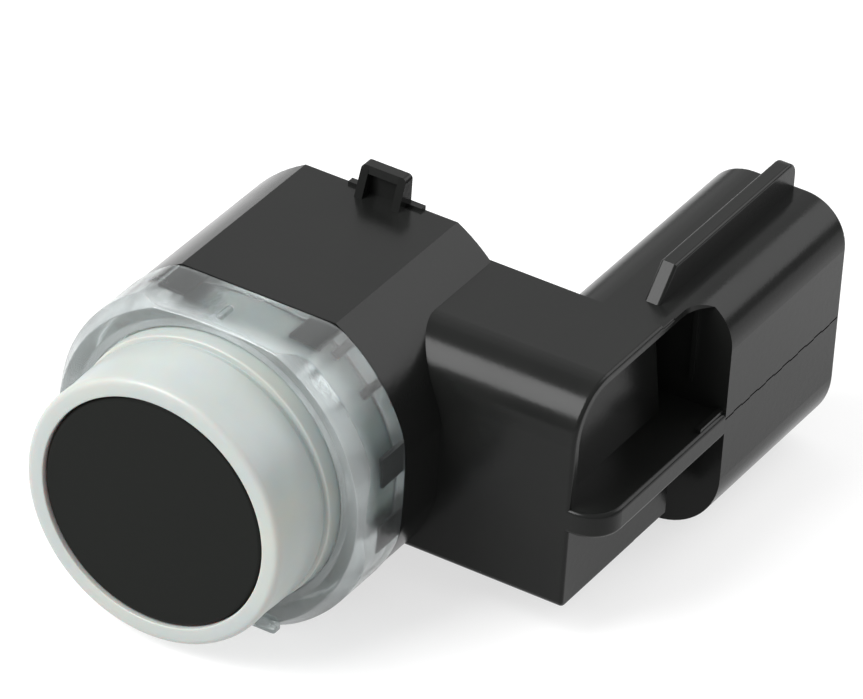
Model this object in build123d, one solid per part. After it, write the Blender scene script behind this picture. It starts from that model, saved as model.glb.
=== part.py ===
from build123d import *
import math
import os

# Ultrasonic park-distance sensor. Millimetres, +Z up. The origin is the centre of the membrane's
# front face. The membrane looks along -Y, the body runs back along +Y, the arm with the plug
# socket stands out to +X, and the locating latch is on top.

# Membrane cup: the aluminium pot whose front wall vibrates
CUP_R = 7.75
CUP_LENGTH = 10.5
CUP_EDGE = 0.3
CUP_WALL = 1.05
MEMBRANE_T = 0.75
BEAM_SLOT_HEIGHT = 8.2      # oval chamber behind the membrane, which shapes the beam
BEAM_SLOT_MARGIN = 0.7      # its ends stop this far inside the round bore
BEAM_SLOT_DEPTH = 2.65

# Transducer pieces inside the cup
PIEZO_R = 3.5
PIEZO_T = 0.45
FOAM_T = 2.6
CARRIER_T = 1.7
CARRIER_RIM = 0.5
CARRIER_BOSS = 1.2
PIN_R = 0.32
PIN_OUT = 1.27              # contact pins stand this far either side of the axis
PIN_HEAD = 0.8              # pin length in front of the carrier
PIN_TAIL = 0.7              # pin length behind the board
LEAD_R = 0.15
LEAD_BEND_R = 0.8
LEAD_TURN = 1.2             # the ground lead crosses this far in front of its pin
GROUND_LEAD_OUT = 5.0
ISOLATOR_T = 1.6
ISOLATOR_WIDTH = 2.6

# Decoupling ring: soft sleeve between the cup and everything else
RING_GAP = 0.05
RING_LIP = 0.15             # how far the lip stands in front of the membrane
RING_WALL = 1.25
RING_EDGE = 0.45
RING_GROOVE = 0.2           # depth of the groove between the nose and the wider rear part
RING_GROOVE_W = 0.4
RING_BEAD = 0.15            # the rear part stands this far above the nose
RING_SLOPE = 0.1

# Collar: translucent clip-on ring with the same flat-sided outline as the barrel
COLLAR_GAP = 0.1            # to the ring inside it
COLLAR_WALL = 2.15
COLLAR_FLAT_CUT = 1.49      # depth of the top and bottom flats
COLLAR_SIDE_CUT = 0.4       # depth of the side flats
COLLAR_LENGTH = 4.9
COLLAR_NOSE = 1.1           # plain ring left in front of the collar
COLLAR_DISH = 0.4           # depth of the dished front
COLLAR_DISH_W = 0.9
COLLAR_EDGE = (0.7, 1.05)   # front edge taken off: radius, length
COLLAR_EDGE_R = 0.2
POCKET_GAP = 0.1
LUG_REACH = 2.35            # housing lugs reach this far into the collar
LUG_T = 0.5
LUG_WIDTH = 1.9
LUG_SKIN = 0.55             # collar wall outside a lug's pocket
TOP_LUG_IN = 1.0            # lug centres from the ends of the top and bottom flats
SIDE_LUG_IN = 0.65          # and of the side flats
PEG_R = 0.3
PEG_REACH = 1.55
PEG_DEPTH = 0.95            # peg centres inside the collar's round outline
PEG_ANGLES = (38.3, 53.7)
GATE = (0.4, 1.4, 0.2)      # moulding gate nub on the collar's top flat
GATE_OUT = -0.45
GATE_IN = 0.2
TAB = (2.0, 0.75, 0.9)      # small tab under the collar's front edge
TAB_OUT = 4.6
TAB_LEAD = 0.3

# Housing edges
EDGE_R = 0.25
SOFT_R = 0.3                # larger rounding at the latch, the shelf and the socket's mouth
OVERLAP = 1.0               # pieces of the moulding run this far into each other

# Barrel: front body of the housing
BODY_GAP = 0.05             # collar and ring to the housing's front face
BARREL_STEP = 0.4           # cup's back edge to the housing's front face
BARREL_LENGTH = 14.15
BARREL_INSET = 0.07         # barrel inside the collar's round outline, flush with its flats
WELL_GAP = 0.05
FLOOR_T = 1.2
CONTACT_WINDOW_R = 2.9
WALL = 1.8                  # barrel wall around the board
LEDGE = 0.8                 # step that the board sits on
BOARD_ROOM = 2.7            # space in front of the board
BOARD_T = 1.2
BOARD_GAP = 0.1
POTTING_RECESS = 0.65

# Arm: block that joins the barrel to the socket
ARM_SETBACK = 3.97          # arm's front face behind the barrel's
ARM_STEP = 2.35             # arm's back face behind the barrel's
ARM_LENGTH = 8.82           # beyond the barrel's side
ARM_TOP = 8.0
ARM_BOTTOM = -7.17
ARM_NOSE_R = 3.5
ARM_FOOT_R = 0.5
HEEL = (3.8, 0.2)           # step under the arm's back end: length, height
RECESS_DEPTH = (1.05, 2.05) # at the shelf and at the arm's top: the wall leans back
RECESS_SKIN = 0.6
SHELF_TOP = 0.12
SHELF_T = 1.7
SHELF_OUT = 2.44
SHELF_NOSE_R = 2.2
SHELF_RIDGE = (0.35, 2.8, 0.25)
SHELF_RIDGE_IN = 0.2
SHELF_ROOT = 0.2            # shelf runs this far behind the recess's wall
ROOF_LEAN = (0.9, 1.0)      # direction of the roof's edge where it reaches the socket

# Plug socket
SOCKET_W = 10.0
SOCKET_DROP = 0.1           # socket's top below the arm's top
SOCKET_HEIGHT = 17.19
SOCKET_GAP = 2.19           # open gap between the arm and the socket
SOCKET_LENGTH = 14.41
SOCKET_TOP_R = 3.14
SOCKET_BOTTOM_R = 4.49
SOCKET_WALL = 1.25
SOCKET_CORNER_R = 1.1
SOCKET_FLOOR_T = 3.41
NECK_W = 3.91
FRONT_RIB = (0.3, 0.25, 5.7)
FRONT_RIB_IN = 2.54
KEY_W = 1.1
KEY_IN = 4.39               # key's centre inside the socket's outer side
KEY_HEIGHT = 2.05
KEY_ROOT = 0.5
KEY_LEAD = 3.09             # key's foot in front of the socket
KEY_RAKE = 2.2
KEY_SHORT = 0.3             # key's back end in front of the mouth
KEY_BACK_R = 1.0
KEY_EDGE_R = 0.2

# Parting line along the socket's outer side
PARTING = (0.12, 0.06, 0.07)    # groove's width and depth, and how far every other tooth is shifted
PARTING_Z = -0.3
PARTING_TEETH = 14

# Terminals
TERMINAL_COUNT = 4
TERMINAL_PITCH = 2.5
TERMINAL_T = 0.64
TERMINAL_BEND_R = 0.7
TERMINAL_LANE_IN = 4.05     # terminals leave the barrel this far in front of its back
TERMINAL_FRONT = 0.6        # terminal length in front of the board
TERMINAL_STEP_IN = 1.71     # jog behind the socket's front
TERMINAL_REACH = 6.4        # length inside the socket
TERMINAL_TAPER = 0.9

# Latch on top of the barrel
LATCH_PLATE = (5.3, 0.5, 0.2)
LATCH_X = 0.45
LATCH_W = 3.2
LATCH_HEIGHT = 2.04
LATCH_ROOT = 0.3
LATCH_WALL = 0.5
LATCH_LEG_T = 0.55
LATCH_LEG_FOOT = 1.1        # leg depth at its foot
LATCH_LEG_HEAD = 0.25       # and at its top
LATCH_BAR = (0.15, 0.5)

# Components on the back of the board, each at (x, z)
CHIP = (5.0, 5.0, 0.9)
CHIP_BEVEL = 0.2
CHIP_AT = (-3.4, 4.1)
CORE = (6.4, 5.6)
CORE_PLATE_T = 1.1
CORE_POST_R = 1.3
CORE_AT = (-3.3, -3.6)
BOBBIN_T = 0.7
WINDING_R = 2.3
WINDING_L = 2.6
CAN_R = 2.0
CAN_H = 4.4
CAN_EDGE = 0.33
CAN_BASE = (4.3, 0.9)
CAN_BASE_BEVEL = 0.7
CAN_AT = (3.0, 4.6)
CHIP_CAP = (1.25, 2.0, 0.9)
CHIP_CAP_AT = ((0.0, 3.0), (0.0, 5.6), (5.0, 0.6), (5.0, -1.6), (3.2, -6.3))
RESISTOR = (0.8, 1.6, 0.45)
RESISTOR_AT = ((2.0, -2.6), (3.4, -2.6), (4.8, -4.2), (1.4, -5.6), (-7.4, -0.2), (-7.4, 2.2))
SOLDER_R = 0.75
SOLDER_H = 0.55
SOLDER_GAP = 0.06           # from the outermost solder joints to the cavity's round wall
SOLDER_TAPER = 30

# Radii and places that follow from the sizes above, front to back
CUP_BORE_R = CUP_R - CUP_WALL
BEAM_SLOT = (2 * (CUP_BORE_R - BEAM_SLOT_MARGIN), BEAM_SLOT_HEIGHT)
BEAM_SLOT_END = MEMBRANE_T + BEAM_SLOT_DEPTH
CARRIER_BACK = CUP_LENGTH - CARRIER_RIM
CARRIER_FRONT = CARRIER_BACK - CARRIER_T
PIN_FRONT = CARRIER_FRONT - PIN_HEAD
BARREL_FRONT = CUP_LENGTH + BARREL_STEP
CLIP_BACK = BARREL_FRONT - BODY_GAP
RING_BORE_R = CUP_R + RING_GAP
RING_R = RING_BORE_R + RING_WALL - RING_GAP
RING_BEAD_R = RING_R + RING_BEAD
COLLAR_FRONT = BARREL_FRONT - COLLAR_LENGTH - BODY_GAP
RING_STEP = COLLAR_FRONT - COLLAR_NOSE
COLLAR_BORE_R = RING_BEAD_R + COLLAR_GAP
COLLAR_R = COLLAR_BORE_R + COLLAR_WALL
COLLAR_FLAT = COLLAR_R - COLLAR_FLAT_CUT
COLLAR_SIDE = COLLAR_R - COLLAR_SIDE_CUT
COLLAR_SHOULDER = COLLAR_FRONT + COLLAR_EDGE[1]
TOP_LUG_OUT = math.sqrt(COLLAR_R**2 - COLLAR_FLAT**2) - TOP_LUG_IN
SIDE_LUG_OUT = math.sqrt(COLLAR_R**2 - COLLAR_SIDE**2) - SIDE_LUG_IN
BARREL_R = COLLAR_R - BARREL_INSET
BARREL_FLAT = COLLAR_FLAT
BARREL_SIDE = COLLAR_SIDE
BARREL_BACK = BARREL_FRONT + BARREL_LENGTH
WELL_FLOOR = CUP_LENGTH + ISOLATOR_T
BOARD_FRONT = WELL_FLOOR + FLOOR_T + BOARD_ROOM
BOARD_BACK = BOARD_FRONT + BOARD_T
POTTING_BACK = BARREL_BACK - POTTING_RECESS
ARM_FRONT = BARREL_FRONT + ARM_SETBACK
ARM_BACK = BARREL_BACK + ARM_STEP
ARM_END = BARREL_R + ARM_LENGTH
SOCKET_OUT = ARM_END + SHELF_OUT
SOCKET_IN = SOCKET_OUT - SOCKET_W
SOCKET_X = SOCKET_OUT - SOCKET_W / 2
SOCKET_TOP = ARM_TOP - SOCKET_DROP
SOCKET_BOTTOM = SOCKET_TOP - SOCKET_HEIGHT
SOCKET_Z = (SOCKET_TOP + SOCKET_BOTTOM) / 2
SOCKET_FRONT = ARM_BACK + SOCKET_GAP
SOCKET_BACK = SOCKET_FRONT + SOCKET_LENGTH
SOCKET_FLOOR = SOCKET_FRONT + SOCKET_FLOOR_T
NECK_OUT = SOCKET_IN + NECK_W
KEY_X = SOCKET_OUT - KEY_IN
KEY_TOP = SOCKET_TOP + KEY_HEIGHT
KEY_FOOT = SOCKET_FRONT - KEY_LEAD
ROOF_BOTTOM = ARM_TOP - RECESS_SKIN
KEY_END = SOCKET_BACK - KEY_SHORT
TERMINAL_LANE_Y = BARREL_BACK - TERMINAL_LANE_IN
TERMINAL_NECK_X = (SOCKET_IN + NECK_OUT) / 2
TERMINAL_STEP_Y = SOCKET_FRONT + TERMINAL_STEP_IN
TERMINAL_TIP = SOCKET_FLOOR + TERMINAL_REACH
TERMINAL_Z = [SOCKET_Z + (i - (TERMINAL_COUNT - 1) / 2) * TERMINAL_PITCH
              for i in range(TERMINAL_COUNT)]
TERMINAL_BOARD_X = math.sqrt(
    (BARREL_R - WALL - SOLDER_R - SOLDER_GAP)**2 - max(abs(z) for z in TERMINAL_Z)**2)
LATCH_TOP = BARREL_FLAT + LATCH_HEIGHT


def across(y):
    """A plane square to the sensor's axis, with X and Z as its own two axes."""
    return Plane(origin=(0, y, 0), x_dir=(1, 0, 0), z_dir=(0, -1, 0))


def slab(section, start, end):
    """A flat section carried from y = start to y = end."""
    return extrude(across(start) * section, amount=start - end)


def block(x0, x1, y0, y1, z0, z1):
    """A box between two corners."""
    size = (x1 - x0, y1 - y0, z1 - z0)
    return Pos((x0 + x1) / 2, (y0 + y1) / 2, (z0 + z1) / 2) * Box(*size)


def turned(*points):
    """A ring or disc turned about the sensor's axis from (radius, y) points."""
    return revolve(make_face(Polyline(*points, close=True)), axis=Axis.Y)


def flat_sided(radius, flat, side):
    """A circle cut by flats at top and bottom and at both sides."""
    return Circle(radius) & Rectangle(2 * side, 2 * flat)


def rod(radius, x, z, start, end):
    """A round bar along Y."""
    return slab(Pos(x, z) * Circle(radius), start, end)


def board_outline(inset):
    """The barrel's outline, stepped in by its wall and a further inset."""
    return flat_sided(BARREL_R - WALL - inset, BARREL_FLAT - WALL - inset, BARREL_SIDE - WALL - inset)


def socket_outline(inset=0.0, top_r=SOCKET_TOP_R, bottom_r=SOCKET_BOTTOM_R):
    """The socket's upright section, with its larger radii at the bottom."""
    width = SOCKET_W - 2 * inset
    top = SOCKET_TOP - inset
    bottom = SOCKET_BOTTOM + inset
    upper = Pos(SOCKET_X, (top + SOCKET_Z) / 2) * Rectangle(width, top - SOCKET_Z)
    lower = Pos(SOCKET_X, (bottom + SOCKET_Z) / 2) * Rectangle(width, SOCKET_Z - bottom)
    upper = fillet(upper.vertices().sort_by(Axis.Y)[-2:], top_r)
    lower = fillet(lower.vertices().sort_by(Axis.Y)[:2], bottom_r)
    return upper + lower


def membrane_cup():
    """Round pot with a thin front wall, an oval chamber behind it and an open back."""
    pot = fillet(rod(CUP_R, 0, 0, 0, CUP_LENGTH).edges().group_by(Axis.Y)[0], CUP_EDGE)
    width, height = BEAM_SLOT
    chamber = slab(SlotOverall(width, height), MEMBRANE_T, BEAM_SLOT_END)
    return pot - chamber - rod(CUP_BORE_R, 0, 0, BEAM_SLOT_END, CUP_LENGTH)


def piezo_disc():
    """Ceramic disc bonded to the inside of the membrane."""
    return rod(PIEZO_R, 0, 0, MEMBRANE_T, MEMBRANE_T + PIEZO_T)


def lead_holes(start, end):
    """Room round both leads where they run along the axis."""
    spare = 2 * LEAD_R
    return rod(spare, PIN_OUT, 0, start, end) + rod(spare, -GROUND_LEAD_OUT, 0, start, end)


def damping_foam():
    """Absorber disc in the cup's round bore."""
    back = BEAM_SLOT_END + FOAM_T
    return rod(CUP_BORE_R, 0, 0, BEAM_SLOT_END, back) - lead_holes(BEAM_SLOT_END, back)


def contact_pins():
    """The two pins from the carrier through to the board, ground pin last."""
    return [rod(PIN_R, x, 0, PIN_FRONT, BOARD_BACK + PIN_TAIL) for x in (PIN_OUT, -PIN_OUT)]


def contact_carrier():
    """Plastic disc that closes the cup and holds the contact pins."""
    disc = rod(CUP_BORE_R, 0, 0, CARRIER_FRONT, CARRIER_BACK)
    boss = slab(SlotOverall(4 * PIN_OUT, 2 * PIN_OUT), CARRIER_BACK, CUP_LENGTH + CARRIER_BOSS)
    return disc + boss - contact_pins()


def piezo_lead_positive():
    """Straight wire from the disc's rear face to its pin."""
    return rod(LEAD_R, PIN_OUT, 0, MEMBRANE_T + PIEZO_T, PIN_FRONT)


def piezo_lead_ground():
    """Wire from the membrane's inside face, back and across to the ground pin."""
    turn_y = PIN_FRONT - LEAD_TURN
    points = [
        (-GROUND_LEAD_OUT, MEMBRANE_T),
        (-GROUND_LEAD_OUT, turn_y),
        (-PIN_OUT, turn_y),
        (-PIN_OUT, PIN_FRONT),
    ]
    path = FilletPolyline(*points, radius=LEAD_BEND_R)
    return sweep(Plane(path @ 0, z_dir=path % 0) * Circle(LEAD_R), path=path)


def rear_isolator():
    """Soft ring between the cup's back edge and the housing's well."""
    inner = CUP_R - ISOLATOR_WIDTH
    return turned((inner, CUP_LENGTH), (CUP_R, CUP_LENGTH), (CUP_R, WELL_FLOOR), (inner, WELL_FLOOR))


def decoupling_ring():
    """Sleeve over the cup: plain nose, shallow groove, wider rear part inside the collar."""
    groove_r = RING_R - RING_GROOVE
    bead_y = RING_STEP + RING_GROOVE_W
    sleeve = turned(
        (RING_BORE_R, -RING_LIP),
        (RING_R, -RING_LIP),
        (RING_R, RING_STEP),
        (groove_r, RING_STEP + RING_SLOPE),
        (groove_r, bead_y),
        (RING_BEAD_R, bead_y + RING_SLOPE),
        (RING_BEAD_R, CLIP_BACK),
        (RING_BORE_R, CLIP_BACK),
    )
    front = sleeve.edges().filter_by(GeomType.CIRCLE).group_by(Axis.Y)[0].sort_by(SortBy.RADIUS)[-1]
    return fillet(front, RING_EDGE)


def lug_places():
    """Centre, width and height of the eight housing lugs, on a plane across the axis."""
    top_z = COLLAR_FLAT - LUG_SKIN - LUG_T / 2
    side_x = COLLAR_SIDE - LUG_SKIN - LUG_T / 2
    top = [(sx * TOP_LUG_OUT, sz * top_z, LUG_WIDTH, LUG_T) for sx in (-1, 1) for sz in (-1, 1)]
    side = [(sx * side_x, sz * SIDE_LUG_OUT, LUG_T, LUG_WIDTH) for sx in (-1, 1) for sz in (-1, 1)]
    return top + side


def peg_places():
    """Centres of the small round pegs, two in each quarter."""
    angles = [a for start in (0, 180) for p in PEG_ANGLES for a in (start + p, start - p)]
    out = COLLAR_R - PEG_DEPTH
    return [(out * math.cos(math.radians(a)), out * math.sin(math.radians(a))) for a in angles]


def lugs(spare=0.0):
    """Lugs and pegs on the housing's front face, or the collar's pockets when spare is given."""
    front = BARREL_FRONT - LUG_REACH - spare
    bars = [slab(Pos(x, z) * Rectangle(w + 2 * spare, h + 2 * spare), front, BARREL_FRONT)
            for x, z, w, h in lug_places()]
    peg_front = BARREL_FRONT - PEG_REACH - spare
    pegs = [rod(PEG_R + spare, x, z, peg_front, BARREL_FRONT) for x, z in peg_places()]
    return bars + pegs


def collar():
    """Flat-sided ring with a dished, rounded front and pockets in its back for the lugs."""
    dish = COLLAR_FRONT + COLLAR_DISH
    ridge_r = COLLAR_R - COLLAR_EDGE[0]
    ring = turned(
        (COLLAR_BORE_R, CLIP_BACK),
        (COLLAR_BORE_R, dish),
        (ridge_r - COLLAR_DISH_W, dish),
        (ridge_r, COLLAR_FRONT),
        (COLLAR_R, COLLAR_SHOULDER),
        (COLLAR_R, CLIP_BACK),
    )
    ring = fillet(ring.edges().filter_by(GeomType.CIRCLE).group_by(Axis.Y)[0], COLLAR_EDGE_R)
    ring &= slab(Rectangle(2 * COLLAR_SIDE, 2 * COLLAR_FLAT), COLLAR_FRONT, CLIP_BACK)
    width, length, height = GATE
    gate_y = COLLAR_SHOULDER + GATE_IN
    nub = block(GATE_OUT - width / 2, GATE_OUT + width / 2, gate_y, gate_y + length,
                COLLAR_FLAT - height, COLLAR_FLAT + height)
    width, length, height = TAB
    tab_y = COLLAR_FRONT - TAB_LEAD
    tab = block(TAB_OUT - width / 2, TAB_OUT + width / 2, tab_y, tab_y + length,
                -COLLAR_FLAT, height - COLLAR_FLAT)
    return ring + nub + tab - lugs(POCKET_GAP)


def barrel():
    """Front body with the lugs, the latch plate and the latch."""
    body = slab(flat_sided(BARREL_R, BARREL_FLAT, BARREL_SIDE), BARREL_FRONT, BARREL_BACK)
    body = fillet(body.edges().group_by(Axis.Y)[-1], EDGE_R)
    return body + lugs() + latch()


def latch():
    """Raised plate at the back edge, and a wall braced by two raked legs under a bar."""
    width, length, height = LATCH_PLATE
    base = BARREL_FLAT - LATCH_ROOT
    plate = block(LATCH_X - width / 2, LATCH_X + width / 2, BARREL_BACK - length, BARREL_BACK,
                  base, BARREL_FLAT + height)
    wall = block(LATCH_X - LATCH_W / 2, LATCH_X + LATCH_W / 2, BARREL_BACK - LATCH_WALL, BARREL_BACK,
                 base, LATCH_TOP)
    front = BARREL_BACK - LATCH_WALL
    side = make_face(Polyline(
        (front, base), (front - LATCH_LEG_FOOT, base),
        (front - LATCH_LEG_HEAD, LATCH_TOP), (front, LATCH_TOP), close=True))
    lean, drop = LATCH_BAR
    bar = make_face(Polyline(
        (front, LATCH_TOP - drop), (front - LATCH_LEG_HEAD - lean, LATCH_TOP - drop),
        (front - LATCH_LEG_HEAD, LATCH_TOP), (front, LATCH_TOP), close=True))
    legs = [Pos(x, 0, 0) * extrude(Plane.YZ * side, amount=LATCH_LEG_T)
            for x in (LATCH_X - LATCH_W / 2, LATCH_X + LATCH_W / 2 - LATCH_LEG_T)]
    top = Pos(LATCH_X - LATCH_W / 2, 0, 0) * extrude(Plane.YZ * bar, amount=LATCH_W)
    hook = wall + legs + top
    return plate + fillet(hook.edges().filter_by(Axis.Y).group_by(Axis.Z)[-1], SOFT_R)


def arm_side(inset):
    """The arm's outline seen from its end, rounded at the top front."""
    y0, z1 = ARM_FRONT + inset, ARM_TOP - inset
    face = Pos((y0 + ARM_BACK) / 2, (ARM_BOTTOM + z1) / 2) * Rectangle(ARM_BACK - y0, z1 - ARM_BOTTOM)
    front = face.vertices().sort_by(Axis.X)[:2].sort_by(Axis.Y)
    face = fillet(front[-1], ARM_NOSE_R - inset)
    return fillet(face.vertices().group_by(Axis.Y)[0].sort_by(Axis.X)[0], ARM_FOOT_R)


def arm():
    """Block out from the barrel, with its shelf and a recess above it."""
    body = extrude(Plane.YZ * arm_side(0), amount=ARM_END)
    body = fillet(body.faces().sort_by(Axis.X)[-1].edges(), EDGE_R)
    body -= block(0, ARM_END, BARREL_BACK, ARM_BACK, ARM_BOTTOM, ARM_TOP)
    rear = block(SOCKET_IN, ARM_END, BARREL_BACK, ARM_BACK, ARM_BOTTOM, SOCKET_TOP)
    rear = fillet(rear.edges().filter_by(Axis.Y).sort_by(Axis.X)[-2:], EDGE_R)
    body += rear & slab(socket_outline(), BARREL_BACK, ARM_BACK)
    length, height = HEEL
    body -= block(SOCKET_IN, ARM_END, ARM_BACK - length, ARM_BACK, ARM_BOTTOM, ARM_BOTTOM + height)
    low, high = RECESS_DEPTH
    recess = extrude(Plane.YZ * arm_side(RECESS_SKIN), amount=high)
    recess = Pos(ARM_END - high, 0, 0) * recess
    recess += block(ARM_END - high, ARM_END, ARM_BACK - OVERLAP, ARM_BACK, SHELF_TOP, ROOF_BOTTOM)
    section = make_face(Polyline(
        (ARM_END - low, SHELF_TOP), (ARM_END - high, ARM_TOP),
        (ARM_END, ARM_TOP), (ARM_END, SHELF_TOP), close=True))
    recess &= slab(section, ARM_FRONT, ARM_BACK)
    return body - recess + shelf()


def shelf():
    """Flat shelf along the arm's end that runs back to the socket, with a small ridge on it."""
    inner = ARM_END - RECESS_DEPTH[1] - SHELF_ROOT
    plan = Pos((inner + SOCKET_OUT) / 2, (ARM_FRONT + SOCKET_FRONT) / 2) * Rectangle(
        SOCKET_OUT - inner, SOCKET_FRONT - ARM_FRONT)
    corner = plan.vertices().sort_by(Axis.Y)[:2].sort_by(Axis.X)[-1]
    plan = fillet(corner, SHELF_NOSE_R)
    width, length, height = SHELF_RIDGE
    ridge_x = SOCKET_OUT - SHELF_RIDGE_IN
    ridge = block(ridge_x - width, ridge_x, SOCKET_FRONT - length, SOCKET_FRONT,
                  SHELF_TOP, SHELF_TOP + height)
    shape = extrude(Pos(0, 0, SHELF_TOP - SHELF_T) * plan, amount=SHELF_T)
    outer = shape.edges().filter_by(Axis.Z, reverse=True).filter_by(
        lambda edge: edge.center().X > inner + SHELF_ROOT and edge.center().Y < SOCKET_FRONT - SHELF_ROOT)
    return fillet(outer, SOFT_R) + ridge


def top_skin():
    """Thin roof over the gap between the arm and the socket, flared out to the socket's side."""
    rise = ROOF_BOTTOM - (SOCKET_TOP - SOCKET_TOP_R)
    reach = SOCKET_OUT - SOCKET_TOP_R + math.sqrt(SOCKET_TOP_R**2 - rise**2)
    start, end = (ARM_END, ARM_BACK), (reach, SOCKET_FRONT)
    edge = Spline(start, end, tangents=[(0, 1), ROOF_LEAN])
    front = ARM_BACK - OVERLAP
    rest = Polyline(end, (SOCKET_IN, SOCKET_FRONT), (SOCKET_IN, front), (ARM_END, front), start)
    plan = make_face(edge.edges() + rest.edges())
    roof = extrude(Pos(0, 0, ROOF_BOTTOM) * plan, amount=RECESS_SKIN)
    return roof & slab(socket_outline(), front, SOCKET_FRONT)


def key_rib():
    """Upright key along the top of the socket, raked in front and rounded behind."""
    foot = SOCKET_TOP - KEY_ROOT
    face = make_face(Polyline(
        (KEY_FOOT, foot), (KEY_FOOT + KEY_RAKE, KEY_TOP), (KEY_END, KEY_TOP), (KEY_END, foot), close=True))
    corner = face.vertices().sort_by(Axis.Y)[-2:].sort_by(Axis.X)[-1]
    face = fillet(corner, KEY_BACK_R)
    rib = Pos(KEY_X - KEY_W / 2, 0, 0) * extrude(Plane.YZ * face, amount=KEY_W)
    upper = rib.edges().filter_by(Axis.X, reverse=True).filter_by(lambda edge: edge.center().Z > SOCKET_TOP)
    return fillet(upper, KEY_EDGE_R)


def socket():
    """Upright socket with a closed front wall, a neck to the arm, and a mouth at the back."""
    outside = slab(socket_outline(), SOCKET_FRONT, SOCKET_BACK)
    outside = fillet(outside.edges().group_by(Axis.Y)[-1], SOFT_R)
    neck_front = BARREL_BACK - OVERLAP
    neck = slab(socket_outline(), neck_front, SOCKET_FRONT)
    neck &= block(SOCKET_IN, NECK_OUT, neck_front, SOCKET_FRONT, SOCKET_BOTTOM, SOCKET_TOP)
    width, depth, height = FRONT_RIB
    rib_x = SOCKET_OUT - FRONT_RIB_IN
    rib = block(rib_x - width / 2, rib_x + width / 2, SOCKET_FRONT - depth, SOCKET_FRONT,
                ROOF_BOTTOM - height, ROOF_BOTTOM)
    inside = slab(socket_outline(SOCKET_WALL, SOCKET_CORNER_R, SOCKET_CORNER_R), SOCKET_FLOOR, SOCKET_BACK)
    return outside + neck + rib + top_skin() + key_rib() - inside - parting_line()


def parting_line():
    """Fine serrated groove along the socket's outer side, where the mould's halves met."""
    width, depth, shift = PARTING
    step = (SOCKET_LENGTH - SOFT_R) / PARTING_TEETH
    teeth = []
    for i in range(PARTING_TEETH):
        z = PARTING_Z - width / 2 + (i % 2) * shift
        y = SOCKET_FRONT + i * step
        teeth.append(block(SOCKET_OUT - depth, SOCKET_OUT, y, y + step, z, z + width))
    return teeth


def terminal(z):
    """Square pin from the board, through the arm and the neck, to its tapered tip."""
    points = [
        (TERMINAL_BOARD_X, BOARD_FRONT - TERMINAL_FRONT),
        (TERMINAL_BOARD_X, TERMINAL_LANE_Y),
        (TERMINAL_NECK_X, TERMINAL_LANE_Y),
        (TERMINAL_NECK_X, TERMINAL_STEP_Y),
        (SOCKET_X, TERMINAL_STEP_Y),
        (SOCKET_X, TERMINAL_TIP),
    ]
    path = FilletPolyline(*points, radius=TERMINAL_BEND_R)
    bar = sweep(Plane(path @ 0, z_dir=path % 0) * Rectangle(TERMINAL_T, TERMINAL_T), path=path)
    tip = bar.faces().sort_by(Axis.Y)[-1].edges()
    return Pos(0, 0, z) * chamfer(tip, TERMINAL_TAPER, TERMINAL_T / 4)


def housing():
    """One black moulding: barrel, arm, socket and latch, cut for what it holds."""
    body = barrel() + arm() + socket()
    body -= rod(CUP_R + WELL_GAP, 0, 0, BARREL_FRONT, WELL_FLOOR)
    body -= rod(CONTACT_WINDOW_R, 0, 0, WELL_FLOOR, WELL_FLOOR + FLOOR_T)
    body -= slab(board_outline(LEDGE), WELL_FLOOR + FLOOR_T, BOARD_FRONT)
    body -= slab(board_outline(0), BOARD_FRONT, BARREL_BACK)
    return body - [terminal(z) for z in TERMINAL_Z]


def circuit_board():
    """Flat-sided board on the barrel's ledge, drilled for the pins and terminals."""
    board = slab(board_outline(BOARD_GAP), BOARD_FRONT, BOARD_BACK)
    return board - contact_pins() - [terminal(z) for z in TERMINAL_Z]


def on_board(size, places, lift=0.0):
    """Equal blocks standing on the back of the board at (x, z) places."""
    width, height, depth = size
    start = BOARD_BACK + lift
    return [slab(Pos(x, z) * Rectangle(width, height), start, start + depth) for x, z in places]


def driver_chip():
    """Flat square driver and amplifier chip with a bevelled top."""
    body = on_board(CHIP, [CHIP_AT])[0]
    return chamfer(body.faces().sort_by(Axis.Y)[-1].edges(), CHIP_BEVEL)


def transformer_bobbin():
    """Plastic base under the transformer."""
    return on_board((*CORE, BOBBIN_T), [CORE_AT])[0]


def transformer_core():
    """Ferrite core: two end plates and the post between them."""
    x, z = CORE_AT
    base = BOARD_BACK + BOBBIN_T
    low = on_board((*CORE, CORE_PLATE_T), [CORE_AT], BOBBIN_T)[0]
    high = on_board((*CORE, CORE_PLATE_T), [CORE_AT], BOBBIN_T + CORE_PLATE_T + WINDING_L)[0]
    post = rod(CORE_POST_R, x, z, base + CORE_PLATE_T, base + CORE_PLATE_T + WINDING_L)
    return low + post + high


def transformer_winding():
    """Copper winding on the core's post."""
    x, z = CORE_AT
    start = BOARD_BACK + BOBBIN_T + CORE_PLATE_T
    return rod(WINDING_R, x, z, start, start + WINDING_L) - rod(CORE_POST_R, x, z, start, start + WINDING_L)


def capacitor_base():
    """Square plastic foot of the storage capacitor."""
    side, height = CAN_BASE
    foot = on_board((side, side, height), [CAN_AT])[0]
    return chamfer(foot.edges().filter_by(Axis.Y).sort_by(Axis.X)[-2:], CAN_BASE_BEVEL)


def storage_capacitor():
    """Aluminium can of the storage capacitor, on its foot."""
    side, height = CAN_BASE
    start = BOARD_BACK + height
    can = rod(CAN_R, *CAN_AT, start, start + CAN_H)
    return fillet(can.edges().group_by(Axis.Y)[-1], CAN_EDGE)


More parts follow.
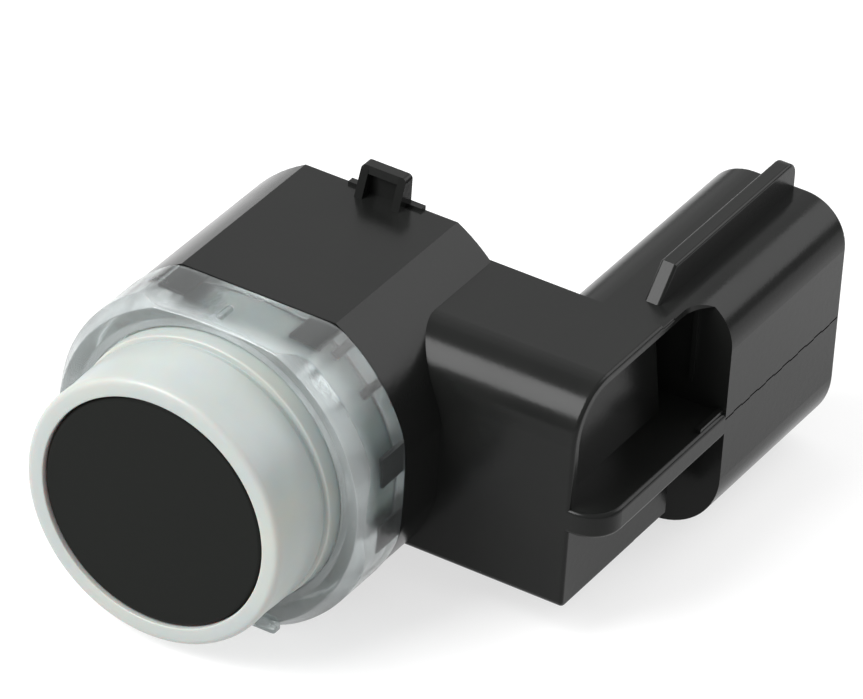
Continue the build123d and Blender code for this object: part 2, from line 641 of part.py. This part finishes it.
def solder_joints():
    """A cone of solder round each pin and terminal on the back of the board."""
    places = [(PIN_OUT, 0), (-PIN_OUT, 0)] + [(TERMINAL_BOARD_X, z) for z in TERMINAL_Z]
    cones = []
    for x, z in places:
        foot = across(BOARD_BACK) * Pos(x, z) * Circle(SOLDER_R)
        cone = extrude(foot, amount=-SOLDER_H, taper=SOLDER_TAPER)
        cones.append(cone - contact_pins() - [terminal(tz) for tz in TERMINAL_Z])
    return cones


def potting_compound(inside):
    """Resin that fills the barrel behind the board, round everything that stands there."""
    return slab(board_outline(0), BOARD_BACK, POTTING_BACK) - inside


def save(shape, node):
    """Write one node's STEP file."""
    pieces = shape if isinstance(shape, list) else [shape]
    solids = [solid for piece in pieces for solid in piece.solids()]
    export_step(solids[0] if len(solids) == 1 else Compound(solids), f"parts/{node}.step")


def main():
    os.makedirs("parts", exist_ok=True)
    positive_pin, ground_pin = contact_pins()
    terminals = [terminal(z) for z in TERMINAL_Z]
    on_the_board = {
        "driver_chip": driver_chip(),
        "transformer_bobbin": transformer_bobbin(),
        "transformer_core": transformer_core(),
        "transformer_winding": transformer_winding(),
        "capacitor_base": capacitor_base(),
        "storage_capacitor": storage_capacitor(),
        "ceramic_capacitors": on_board(CHIP_CAP, CHIP_CAP_AT),
        "resistors": on_board(RESISTOR, RESISTOR_AT),
        "solder_joints": solder_joints(),
    }
    inside = [positive_pin, ground_pin] + terminals
    for shape in on_the_board.values():
        inside += shape if isinstance(shape, list) else [shape]
    nodes = {
        "housing": housing(),
        "collar": collar(),
        "decoupling_ring": decoupling_ring(),
        "membrane_cup": membrane_cup(),
        "piezo_disc": piezo_disc(),
        "damping_foam": damping_foam(),
        "contact_carrier": contact_carrier(),
        "contact_pin_positive": positive_pin,
        "contact_pin_ground": ground_pin,
        "piezo_lead_positive": piezo_lead_positive(),
        "piezo_lead_ground": piezo_lead_ground(),
        "rear_isolator": rear_isolator(),
        "circuit_board": circuit_board(),
        "potting_compound": potting_compound(inside),
        **on_the_board,
        **{f"terminal_{i + 1}": shape for i, shape in enumerate(terminals)},
    }
    for node, shape in nodes.items():
        save(shape, node)


main()
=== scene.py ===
import math

import bmesh
import bpy
import numpy as np
from mathutils import Matrix, Vector


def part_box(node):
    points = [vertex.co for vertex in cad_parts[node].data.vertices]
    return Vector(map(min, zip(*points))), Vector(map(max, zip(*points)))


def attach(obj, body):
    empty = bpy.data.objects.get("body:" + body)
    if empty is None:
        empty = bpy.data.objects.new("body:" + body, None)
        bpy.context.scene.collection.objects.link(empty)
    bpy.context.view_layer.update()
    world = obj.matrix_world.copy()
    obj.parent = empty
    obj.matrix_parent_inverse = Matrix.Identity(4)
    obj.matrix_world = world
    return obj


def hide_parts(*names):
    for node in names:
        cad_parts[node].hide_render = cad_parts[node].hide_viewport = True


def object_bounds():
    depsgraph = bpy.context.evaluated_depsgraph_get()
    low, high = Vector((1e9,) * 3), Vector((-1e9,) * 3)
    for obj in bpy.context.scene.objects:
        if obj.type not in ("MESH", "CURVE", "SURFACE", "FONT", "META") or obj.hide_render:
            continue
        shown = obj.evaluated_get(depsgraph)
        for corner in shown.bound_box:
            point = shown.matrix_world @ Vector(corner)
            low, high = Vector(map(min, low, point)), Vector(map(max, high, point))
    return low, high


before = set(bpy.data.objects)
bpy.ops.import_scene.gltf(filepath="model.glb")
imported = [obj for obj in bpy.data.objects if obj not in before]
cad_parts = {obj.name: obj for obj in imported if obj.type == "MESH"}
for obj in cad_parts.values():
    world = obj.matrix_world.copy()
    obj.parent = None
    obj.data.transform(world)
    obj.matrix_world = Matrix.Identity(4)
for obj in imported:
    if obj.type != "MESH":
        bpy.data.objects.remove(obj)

cad_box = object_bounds()

# ---------------------------------------------------------------------------
# Camera: a long lens above and to the right of the sensing face, turned a few
# degrees about its own axis.
# ---------------------------------------------------------------------------
camera_azimuth = math.radians(29.33)
camera_elevation = math.radians(33.44)
camera_roll = math.radians(4.04)
camera_distance = 0.4788
camera_slide = (0.01666, 0.00973)
camera_lens = 334.72
camera_film = 36.0
camera_sees = (0.05, 5.0)

away = Vector((
    math.sin(camera_azimuth) * math.cos(camera_elevation),
    -math.cos(camera_azimuth) * math.cos(camera_elevation),
    math.sin(camera_elevation),
))
level = Vector((math.cos(camera_azimuth), math.sin(camera_azimuth), 0.0))
upward = away.cross(level)
camera_right = level * math.cos(camera_roll) + upward * math.sin(camera_roll)
camera_up = upward * math.cos(camera_roll) - level * math.sin(camera_roll)

camera_data = bpy.data.cameras.new("camera")
camera_data.lens = camera_lens
camera_data.sensor_width = camera_film
camera_data.clip_start, camera_data.clip_end = camera_sees
camera = bpy.data.objects.new("camera", camera_data)
bpy.context.scene.collection.objects.link(camera)
camera_place = away * camera_distance + camera_right * camera_slide[0] + camera_up * camera_slide[1]
camera.matrix_world = Matrix((
    (camera_right[0], camera_up[0], away[0], camera_place[0]),
    (camera_right[1], camera_up[1], away[1], camera_place[1]),
    (camera_right[2], camera_up[2], away[2], camera_place[2]),
    (0.0, 0.0, 0.0, 1.0),
))
bpy.context.scene.camera = camera

# ---------------------------------------------------------------------------
# Floor and light: a plain white light table in a white room that is dimmer near
# the horizon, with soft boxes in front and above, behind, and on the right.
# ---------------------------------------------------------------------------
floor_half = 0.6
floor_drop = 0.00002
floor_z = cad_box[0][2] - floor_drop
floor_grey = 0.35
floor_glow = 0.66
room_near_horizon, room_overhead = 0.35, 0.82
room_bright_from = 0.5
white = (1.0, 1.0, 1.0, 1.0)

floor_mesh = bpy.data.meshes.new("floor")
floor_mesh.from_pydata(
    [(-floor_half, -floor_half, floor_z), (floor_half, -floor_half, floor_z),
     (floor_half, floor_half, floor_z), (-floor_half, floor_half, floor_z)], [], [(0, 1, 2, 3)])
floor = bpy.data.objects.new("floor", floor_mesh)
bpy.context.scene.collection.objects.link(floor)
table_white = bpy.data.materials.new("table_white")
table_white.use_nodes = True
table_shader = table_white.node_tree.nodes["Principled BSDF"]
table_shader.inputs["Base Color"].default_value = (floor_grey, floor_grey, floor_grey, 1.0)
table_shader.inputs["Roughness"].default_value = 0.8
table_shader.inputs["Specular IOR Level"].default_value = 0.0
table_shader.inputs["Emission Color"].default_value = white
table_shader.inputs["Emission Strength"].default_value = floor_glow
floor_mesh.materials.append(table_white)

world = bpy.data.worlds.new("white_room")
world.use_nodes = True
room_nodes, room_links = world.node_tree.nodes, world.node_tree.links
room_direction = room_nodes.new("ShaderNodeTexCoord")
room_height = room_nodes.new("ShaderNodeSeparateXYZ")
room_light = room_nodes.new("ShaderNodeMapRange")
room_light.inputs["From Min"].default_value = 0.0
room_light.inputs["From Max"].default_value = room_bright_from
room_light.inputs["To Min"].default_value = room_near_horizon
room_light.inputs["To Max"].default_value = room_overhead
room_links.new(room_direction.outputs["Generated"], room_height.inputs["Vector"])
room_links.new(room_height.outputs["Z"], room_light.inputs["Value"])
room_links.new(room_light.outputs["Result"], room_nodes["Background"].inputs["Strength"])
room_nodes["Background"].inputs["Color"].default_value = white
bpy.context.scene.world = world
bpy.context.scene.view_settings.view_transform = "Standard"

lamp_distance = 0.5
object_middle = (Vector(cad_box[0]) + Vector(cad_box[1])) / 2


def soft_box(name, towards, size, power):
    """A square area lamp a fixed way off in one direction, facing the middle of the sensor."""
    lamp_data = bpy.data.lights.new(name, "AREA")
    lamp_data.shape = "SQUARE"
    lamp_data.size = size
    lamp_data.energy = power
    lamp = bpy.data.objects.new(name, lamp_data)
    bpy.context.scene.collection.objects.link(lamp)
    direction = Vector(towards).normalized()
    lamp.location = object_middle + direction * lamp_distance
    lamp.rotation_euler = direction.to_track_quat("Z", "Y").to_euler()
    return lamp


soft_box("front_box", (-0.42, -0.58, 0.70), 0.32, 3.9)
soft_box("back_box", (-0.3, 0.75, 0.6), 0.5, 0.3)
soft_box("side_box", (0.42, 0.72, 0.5), 0.3, 0.8)

# ---------------------------------------------------------------------------
# Housing: barrel, arm, shelf, plug socket and latch in one piece. Black nylon
# filled with glass, injection moulded, so its skin is satin with a fine grain
# and broad, faint flow marks.
# ---------------------------------------------------------------------------


def finish(name, light, dark, patch, rough, grain, depth, **sockets):
    """A surface with soft patches of two colours, uneven gloss and fine relief.

    patch is the size of the patches and grain that of the relief, both in metres.
    rough is the range of roughness, and depth the height of the relief in metres.
    """
    material = bpy.data.materials.new(name)
    material.use_nodes = True
    nodes, links = material.node_tree.nodes, material.node_tree.links
    shader = nodes["Principled BSDF"]
    place = nodes.new("ShaderNodeTexCoord")
    patches = nodes.new("ShaderNodeTexNoise")
    patches.inputs["Scale"].default_value = 1.0 / patch
    patches.inputs["Detail"].default_value = 4.0
    relief = nodes.new("ShaderNodeTexNoise")
    relief.inputs["Scale"].default_value = 1.0 / grain
    relief.inputs["Detail"].default_value = 3.0
    links.new(place.outputs["Object"], patches.inputs["Vector"])
    links.new(place.outputs["Object"], relief.inputs["Vector"])
    colours = nodes.new("ShaderNodeMix")
    colours.name = "colours"
    colours.data_type = "RGBA"
    colours.inputs[6].default_value = (*dark, 1.0)
    colours.inputs[7].default_value = (*light, 1.0)
    links.new(patches.outputs["Fac"], colours.inputs[0])
    links.new(colours.outputs[2], shader.inputs["Base Color"])
    gloss = nodes.new("ShaderNodeMapRange")
    gloss.inputs["From Min"].default_value = 0.3
    gloss.inputs["From Max"].default_value = 0.7
    gloss.inputs["To Min"].default_value = rough[0]
    gloss.inputs["To Max"].default_value = rough[1]
    links.new(patches.outputs["Fac"], gloss.inputs["Value"])
    links.new(gloss.outputs["Result"], shader.inputs["Roughness"])
    bump = nodes.new("ShaderNodeBump")
    bump.inputs["Strength"].default_value = 1.0
    bump.inputs["Distance"].default_value = depth
    links.new(relief.outputs["Fac"], bump.inputs["Height"])
    links.new(bump.outputs["Normal"], shader.inputs["Normal"])
    for socket, value in sockets.items():
        shader.inputs[socket.replace("_", " ")].default_value = value
    return material


def wear(material, *nodes):
    """Gives these CAD nodes this material alone."""
    for node in nodes:
        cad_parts[node].data.materials.clear()
        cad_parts[node].data.materials.append(material)


black_plastic = finish(
    "black_plastic", (0.0095, 0.0098, 0.0090), (0.0060, 0.0064, 0.0064), 0.006,
    (0.17, 0.25), 0.00035, 0.000005, Specular_IOR_Level=0.14)
wear(black_plastic, "housing")

# ---------------------------------------------------------------------------
# Collar: clip-on ring of frosted, nearly clear plastic, injection moulded, with
# a dished front, a gate nub on top and a small tab below. The housing's lugs
# show through it as dark patches.
# ---------------------------------------------------------------------------
collar_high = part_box("collar")[1]
ring_low, ring_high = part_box("decoupling_ring")
gate_height = 0.0002
collar_flat = collar_high[2] - gate_height
collar_side = collar_high[0]
collar_r = 0.0114
collar_front = 0.00595
collar_back = collar_high[1]
collar_bore_r = ring_high[0] + 0.0001
dish_depth = 0.0004
ridge_r = 0.0107
ridge_width = 0.0009
shoulder_length = 0.00105
least_land = 0.0002
least_edge = 0.0001
round_steps = 320


def outline(turn, radius, flat, side, power=70.0):
    """The radius at each angle of a circle with flats above, below and at both sides.

    It is the least of radius, flat / |sin t| and side / |cos t|, blended as one over
    the power-norm of their inverses, which rounds the corners a little.
    """
    sine, cosine = np.abs(np.sin(turn)), np.abs(np.cos(turn))
    return (radius**-power + (sine / flat)**power + (cosine / side)**power)**(-1.0 / power)


def rounded(corners, steps=7):
    """The closed outline through (radius, y, rounding) corners, for one angle or for many.

    Each corner becomes a quadratic curve between the points one rounding before and
    one rounding after it.
    """
    here, reach = corners[..., :2], corners[..., 2:]
    before = np.roll(here, 1, axis=-2) - here
    after = np.roll(here, -1, axis=-2) - here
    start = here + before / np.linalg.norm(before, axis=-1, keepdims=True) * reach
    end = here + after / np.linalg.norm(after, axis=-1, keepdims=True) * reach
    t = np.linspace(0.0, 1.0, steps)[:, None]
    start, middle, end = start[..., None, :], here[..., None, :], end[..., None, :]
    curve = (1 - t)**2 * start + 2 * t * (1 - t) * middle + t**2 * end
    return curve.reshape(*corners.shape[:-2], -1, 2)


def grid_piece(name, points, close_rows=True):
    """A mesh over a grid of points that closes round its first axis.

    The second axis closes as well, unless close_rows is False.
    """
    steps, rows = points.shape[:2]
    bands = rows if close_rows else rows - 1
    step, row = np.meshgrid(np.arange(steps), np.arange(bands), indexing="ij")
    next_step, next_row = (step + 1) % steps, (row + 1) % rows
    faces = np.stack([step * rows + row, step * rows + next_row,
                      next_step * rows + next_row, next_step * rows + row], axis=-1)
    mesh = bpy.data.meshes.new(name)
    mesh.from_pydata(points.reshape(-1, 3), [], faces.reshape(-1, 4).tolist())
    mesh.polygons.foreach_set("use_smooth", np.ones(len(mesh.polygons), dtype=bool))
    piece = bpy.data.objects.new(name, mesh)
    bpy.context.scene.collection.objects.link(piece)
    return piece


def turned(name, corners, steps=round_steps):
    """A rounded profile of (radius, y, rounding) corners turned about the sensor's axis.

    A point goes to (radius cos t, y, radius sin t). The corners may be one list, or
    one list for each of the angles t.
    """
    profile = rounded(np.asarray(corners, dtype=float))
    profile = np.broadcast_to(profile, (steps, *profile.shape[-2:]))
    turn = np.linspace(0.0, 2.0 * math.pi, steps, endpoint=False)[:, None]
    radius, along = profile[..., 0], profile[..., 1]
    points = np.stack([radius * np.cos(turn), along, radius * np.sin(turn)], axis=-1)
    return grid_piece(name, points)


def belongs(piece, material, body, slot, *nodes):
    """Gives a new piece its material and body, and hides the CAD nodes it stands for. The slot argument is
    not used.
    """
    piece.data.materials.append(material)
    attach(piece, body)
    if nodes:
        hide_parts(*nodes)


turn = np.linspace(0.0, 2.0 * math.pi, round_steps, endpoint=False)
rim = outline(turn, collar_r, collar_flat, collar_side)
edge_r = np.minimum(ridge_r, rim - least_edge)
dish_y = collar_front + dish_depth
dish_r = ridge_r - ridge_width
edge_y = dish_y - dish_depth * (edge_r - dish_r) / ridge_width
slope_y = collar_front + shoulder_length * (rim - ridge_r) / (collar_r - ridge_r)
shoulder_y = np.maximum(edge_y + least_land, slope_y)


def collar_corner(radius, along, rounding):
    """One corner of the collar's profile, given at every angle round it."""
    same = np.ones(round_steps)
    return np.stack([radius * same, along * same, rounding * same], axis=-1)


collar_corners = np.stack([
    collar_corner(collar_bore_r, collar_back, 0.0001),
    collar_corner(collar_bore_r, dish_y, 0.0001),
    collar_corner(np.minimum(dish_r, edge_r - least_land), dish_y, 0.00008),
    collar_corner(edge_r, edge_y, 0.00009),
    collar_corner(rim, shoulder_y, 0.00009),
    collar_corner(rim, collar_back, 0.00012),
], axis=1)
clear_plastic = finish(
    "clear_plastic", (0.84, 0.88, 0.87), (0.72, 0.79, 0.80), 0.004,
    (0.18, 0.28), 0.0015, 0.00004, Transmission_Weight=0.9, IOR=1.49)


def frost_the_front(material, start, end, frosted, clear):
    """Lets less light through in front: transmission rises from frosted to clear along y."""
    nodes, links = material.node_tree.nodes, material.node_tree.links
    place = nodes.new("ShaderNodeTexCoord")
    split = nodes.new("ShaderNodeSeparateXYZ")
    haze = nodes.new("ShaderNodeMapRange")
    haze.inputs["From Min"].default_value = start
    haze.inputs["From Max"].default_value = end
    haze.inputs["To Min"].default_value = frosted
    haze.inputs["To Max"].default_value = clear
    links.new(place.outputs["Object"], split.inputs["Vector"])
    links.new(split.outputs["Y"], haze.inputs["Value"])
    links.new(haze.outputs["Result"], nodes["Principled BSDF"].inputs["Transmission Weight"])


frost_the_front(clear_plastic, 0.0064, 0.0078, 0.74, 0.965)
collar_ring = turned("collar_ring", collar_corners)
belongs(collar_ring, clear_plastic, "collar", "clear_plastic", "collar")


def close_poles(piece):
    """Merges the points that meet at a piece's poles, and faces it outwards."""
    joined = bmesh.new()
    joined.from_mesh(piece.data)
    bmesh.ops.remove_doubles(joined, verts=joined.verts, dist=1e-7)
    bmesh.ops.recalc_face_normals(joined, faces=joined.faces)
    joined.to_mesh(piece.data)
    joined.free()


def soft_block(name, low, high, power=8.0, steps=24):
    """A block with rounded edges between two corners.

    It is a superellipsoid: the middle plus half the size times the signed 2/power
    powers of cos v cos u, cos v sin u and sin v.
    """
    low, high = np.array(low), np.array(high)

    def bend(wave):
        return np.sign(wave) * np.abs(wave)**(2.0 / power)

    u = np.linspace(-math.pi, math.pi, 2 * steps, endpoint=False)[:, None]
    v = np.linspace(-math.pi / 2, math.pi / 2, steps)[None, :]
    unit = np.stack([bend(np.cos(v)) * bend(np.cos(u)), bend(np.cos(v)) * bend(np.sin(u)),
                     bend(np.sin(v)) + 0.0 * u], axis=-1)
    piece = grid_piece(name, (low + high) / 2 + unit * (high - low) / 2, close_rows=False)
    close_poles(piece)
    return piece


gate_nub = soft_block(
    "gate_nub", (-0.00065, 0.0072, collar_flat - gate_height), (-0.00025, 0.0086, collar_flat + gate_height))
belongs(gate_nub, clear_plastic, "collar", "clear_plastic")
tab_height = 0.0009
tab = soft_block(
    "collar_tab", (0.0036, 0.00565, -collar_flat), (0.0056, 0.0064, tab_height - collar_flat))
belongs(tab, clear_plastic, "collar", "clear_plastic")

# ---------------------------------------------------------------------------
# Decoupling ring: milky silicone sleeve round the transducer, moulded in one
# shot, with a rounded lip, a slight waist, a groove and a wider rear part.
# ---------------------------------------------------------------------------
cup_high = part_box("membrane_cup")[1]
ring_r = 0.0090
waist_depth = 0.00007
waist_r = ring_r - waist_depth
bore_r = cup_high[0] + 0.00005
lip_y = ring_low[1]
step_y = 0.00485
groove_r = ring_r - 0.0002
milky_silicone = finish(
    "milky_silicone", (0.375, 0.395, 0.345), (0.30, 0.34, 0.36), 0.005,
    (0.30, 0.42), 0.0008, 0.000008, Subsurface_Weight=0.35, Subsurface_Scale=0.002,
    Specular_IOR_Level=0.4)
milky_ring = turned("milky_ring", [
    (bore_r, lip_y, 0.0001),
    (ring_r, lip_y, 0.00048),
    (waist_r, 0.0018, 0.0006),
    (ring_r, 0.0030, 0.0005),
    (ring_r, step_y, 0.00012),
    (groove_r, step_y + 0.0001, 0.00005),
    (groove_r, step_y + 0.0004, 0.00005),
    (ring_high[0], step_y + 0.0005, 0.00012),
    (ring_high[0], ring_high[1], 0.0002),
    (bore_r, ring_high[1], 0.0001),
])
belongs(milky_ring, milky_silicone, "decoupling_ring", "milky_silicone", "decoupling_ring")

# ---------------------------------------------------------------------------
# Membrane cup: deep-drawn aluminium pot. Its front wall carries a satin
# near-black paint, sprayed on, with a slight orange-peel skin; the rest is bare.
# ---------------------------------------------------------------------------
paint_end = 0.0006
black_paint = finish(
    "black_paint", (0.0050, 0.0058, 0.0048), (0.0040, 0.0046, 0.0040), 0.004,
    (0.36, 0.48), 0.0005, 0.000005, Specular_IOR_Level=0.1)


def paint_the_front(material, bare, end):
    """Leaves bare metal behind y = end: colour and metallic switch where y passes it."""
    nodes, links = material.node_tree.nodes, material.node_tree.links
    shader = nodes["Principled BSDF"]
    place = nodes.new("ShaderNodeTexCoord")
    split = nodes.new("ShaderNodeSeparateXYZ")
    behind = nodes.new("ShaderNodeMath")
    behind.operation = "GREATER_THAN"
    behind.inputs[1].default_value = end
    mix = nodes.new("ShaderNodeMix")
    mix.data_type = "RGBA"
    mix.inputs[7].default_value = (*bare, 1.0)
    links.new(place.outputs["Object"], split.inputs["Vector"])
    links.new(split.outputs["Y"], behind.inputs[0])
    links.new(behind.outputs["Value"], mix.inputs[0])
    links.new(nodes["colours"].outputs[2], mix.inputs[6])
    links.new(mix.outputs[2], shader.inputs["Base Color"])
    links.new(behind.outputs["Value"], shader.inputs["Metallic"])


paint_the_front(black_paint, (0.72, 0.73, 0.74), paint_end)
wear(black_paint, "membrane_cup")

# ---------------------------------------------------------------------------
# Inside the cup: ceramic disc bonded to the membrane, damping foam, a moulded
# carrier with two brass pins, two fine leads, and a ribbed soft ring behind.
# ---------------------------------------------------------------------------
piezo_ceramic = finish(
    "piezo_ceramic", (0.74, 0.72, 0.66), (0.66, 0.64, 0.58), 0.0012,
    (0.5, 0.62), 0.0002, 0.000004)
wear(piezo_ceramic, "piezo_disc")
foam_low, foam_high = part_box("damping_foam")
foam = finish(
    "foam", (0.075, 0.075, 0.08), (0.03, 0.03, 0.033), 0.0008,
    (0.8, 0.95), 0.00035, 0.0001, Sheen_Weight=0.2)
lead_hole_r = 0.0016
foam_disc = turned("foam_disc", [
    (lead_hole_r, foam_low[1], 0.0003),
    (foam_high[0], foam_low[1], 0.0005),
    (foam_high[0], foam_high[1], 0.0005),
    (lead_hole_r, foam_high[1], 0.0003),
])
belongs(foam_disc, foam, "sensor", "foam", "damping_foam")
carrier_plastic = finish(
    "carrier_plastic", (0.56, 0.55, 0.50), (0.48, 0.47, 0.43), 0.003,
    (0.4, 0.52), 0.0003, 0.000006)
wear(carrier_plastic, "contact_carrier")
tinned_brass = finish(
    "tinned_brass", (0.76, 0.73, 0.66), (0.63, 0.60, 0.53), 0.0014,
    (0.22, 0.4), 0.00012, 0.000003, Metallic=1.0)
wear(tinned_brass, "contact_pin_positive", "contact_pin_ground")
wire_insulation = finish(
    "wire_insulation", (0.42, 0.05, 0.04), (0.32, 0.035, 0.03), 0.0009,
    (0.4, 0.5), 0.0001, 0.000002)
wear(wire_insulation, "piezo_lead_positive", "piezo_lead_ground")
isolator_low, isolator_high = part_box("rear_isolator")
isolator_inner = cup_high[0] - 0.0026
isolator_ribs = 4
rib_height = 0.00015
grey_silicone = finish(
    "grey_silicone", (0.30, 0.31, 0.32), (0.25, 0.26, 0.27), 0.003,
    (0.45, 0.6), 0.0004, 0.000008, Subsurface_Weight=0.1, Subsurface_Scale=0.001)
rib_r = np.linspace(isolator_inner, isolator_high[0], 2 * isolator_ribs + 1)
rib_y = np.where(np.arange(len(rib_r)) % 2 == 0, 0.0, rib_height)
isolator_corners = np.concatenate([
    np.stack([rib_r, isolator_low[1] + rib_y, 0.00008 + 0.0 * rib_r], axis=-1),
    np.stack([rib_r, isolator_high[1] - rib_y, 0.00008 + 0.0 * rib_r], axis=-1)[::-1],
])
isolator = turned("rear_isolator_ring", isolator_corners)
belongs(isolator, grey_silicone, "sensor", "grey_silicone", "rear_isolator")

# ---------------------------------------------------------------------------
# Circuit board and what is soldered to it: epoxy glass board, driver chip,
# ferrite transformer, can and chip capacitors, resistors and solder.
# ---------------------------------------------------------------------------
board = finish(
    "board", (0.020, 0.115, 0.050), (0.012, 0.085, 0.036), 0.0016,
    (0.28, 0.42), 0.0002, 0.000008)
wear(board, "circuit_board")
chip_epoxy = finish(
    "chip_epoxy", (0.022, 0.022, 0.024), (0.014, 0.014, 0.016), 0.0009,
    (0.5, 0.65), 0.00008, 0.000004)
wear(chip_epoxy, "driver_chip", "transformer_bobbin", "capacitor_base")
ferrite = finish(
    "ferrite", (0.060, 0.060, 0.063), (0.035, 0.035, 0.038), 0.0007,
    (0.45, 0.7), 0.00006, 0.000006)
wear(ferrite, "transformer_core")
can_aluminium = finish(
    "can_aluminium", (0.78, 0.78, 0.79), (0.66, 0.66, 0.68), 0.001,
    (0.25, 0.4), 0.0001, 0.000003, Metallic=1.0)
wear(can_aluminium, "storage_capacitor")
chip_ceramic = finish(
    "chip_ceramic", (0.42, 0.31, 0.20), (0.34, 0.24, 0.15), 0.0006,
    (0.4, 0.55), 0.00008, 0.000003)
wear(chip_ceramic, "ceramic_capacitors")
resistor_body = finish(
    "resistor_body", (0.030, 0.030, 0.032), (0.018, 0.018, 0.020), 0.0005,
    (0.3, 0.45), 0.00008, 0.000003)
wear(resistor_body, "resistors")
solder = finish(
    "solder", (0.72, 0.73, 0.74), (0.52, 0.53, 0.55), 0.0006,
    (0.2, 0.42), 0.00012, 0.000006, Metallic=1.0)
wear(solder, "solder_joints")

# The winding: enamelled copper wire wound on the core's post in close turns.
winding_low, winding_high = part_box("transformer_winding")
wire_turns = 12
copper_wire = finish(
    "copper_wire", (0.62, 0.24, 0.09), (0.48, 0.17, 0.06), 0.0008,
    (0.2, 0.32), 0.0001, 0.000002, Metallic=1.0)
winding_middle = (np.array(winding_low) + np.array(winding_high)) / 2
wire_r = (winding_high[1] - winding_low[1]) / wire_turns / 2
post_r = 0.0013
winding_r = (winding_high[0] - winding_low[0]) / 2
wire_y = winding_low[1] + wire_r * (1 + 2 * np.arange(wire_turns))
crest = np.stack([np.stack([np.full(wire_turns, winding_r - wire_r), wire_y - wire_r], axis=-1),
                  np.stack([np.full(wire_turns, winding_r), wire_y], axis=-1)], axis=1).reshape(-1, 2)
crest = np.concatenate([[(post_r, winding_low[1])], crest,
                        [(winding_r - wire_r, winding_high[1]), (post_r, winding_high[1])]])
winding_corners = np.concatenate([crest, np.full((len(crest), 1), wire_r * 0.4)], axis=1)
winding = turned("copper_winding", winding_corners, steps=96)
winding_points = np.empty(len(winding.data.vertices) * 3)
winding.data.vertices.foreach_get("co", winding_points)
winding_points = winding_points.reshape(-1, 3) + winding_middle * (1.0, 0.0, 1.0)
winding.data.vertices.foreach_set("co", winding_points.ravel())
belongs(winding, copper_wire, "sensor", "copper_wire", "transformer_winding")

# ---------------------------------------------------------------------------
# Terminals: four square brass pins, tinned, bent and pressed through the arm
# into the plug socket.
# ---------------------------------------------------------------------------
wear(tinned_brass, "terminal_1", "terminal_2", "terminal_3", "terminal_4")

# ---------------------------------------------------------------------------
# Potting: dark polyurethane resin poured in behind the board. It sets with a
# smooth, slightly wavy face that climbs the wall as a meniscus.
# ---------------------------------------------------------------------------
potting_low, potting_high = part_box("potting_compound")
cavity_gap = 0.00001
potting_flat = potting_high[2] - cavity_gap
potting_side = potting_high[0] - cavity_gap
cavity_r = 0.00953 - cavity_gap
fine_from = 0.85
meniscus_rise = 0.00035
meniscus_reach = 0.0005
wave_height = 0.00002
wave_length = 0.004
share = np.concatenate([np.linspace(0.0, fine_from, 26), np.linspace(fine_from, 1.0, 20)[1:]])[None, :]
wall_r = outline(turn, cavity_r, potting_flat, potting_side)[:, None]
face_r = wall_r * share
face_x, face_z = face_r * np.cos(turn[:, None]), face_r * np.sin(turn[:, None])
face_y = (potting_high[1] + meniscus_rise * np.exp((face_r - wall_r) / meniscus_reach)
          + wave_height * np.sin(face_x / wave_length * 2 * math.pi)
          * np.cos(face_z / wave_length * 2 * math.pi))
back_face = np.stack([face_x, face_y, face_z], axis=-1)
front_face = back_face[:, ::-1] * (1.0, 0.0, 1.0) + np.array((0.0, potting_low[1], 0.0))
potting = finish(
    "potting", (0.020, 0.021, 0.023), (0.012, 0.013, 0.015), 0.005,
    (0.12, 0.22), 0.0012, 0.00001)
fill = grid_piece("potting_fill", np.concatenate([back_face, front_face], axis=1), close_rows=False)
close_poles(fill)
belongs(fill, potting, "sensor", "potting", "potting_compound")
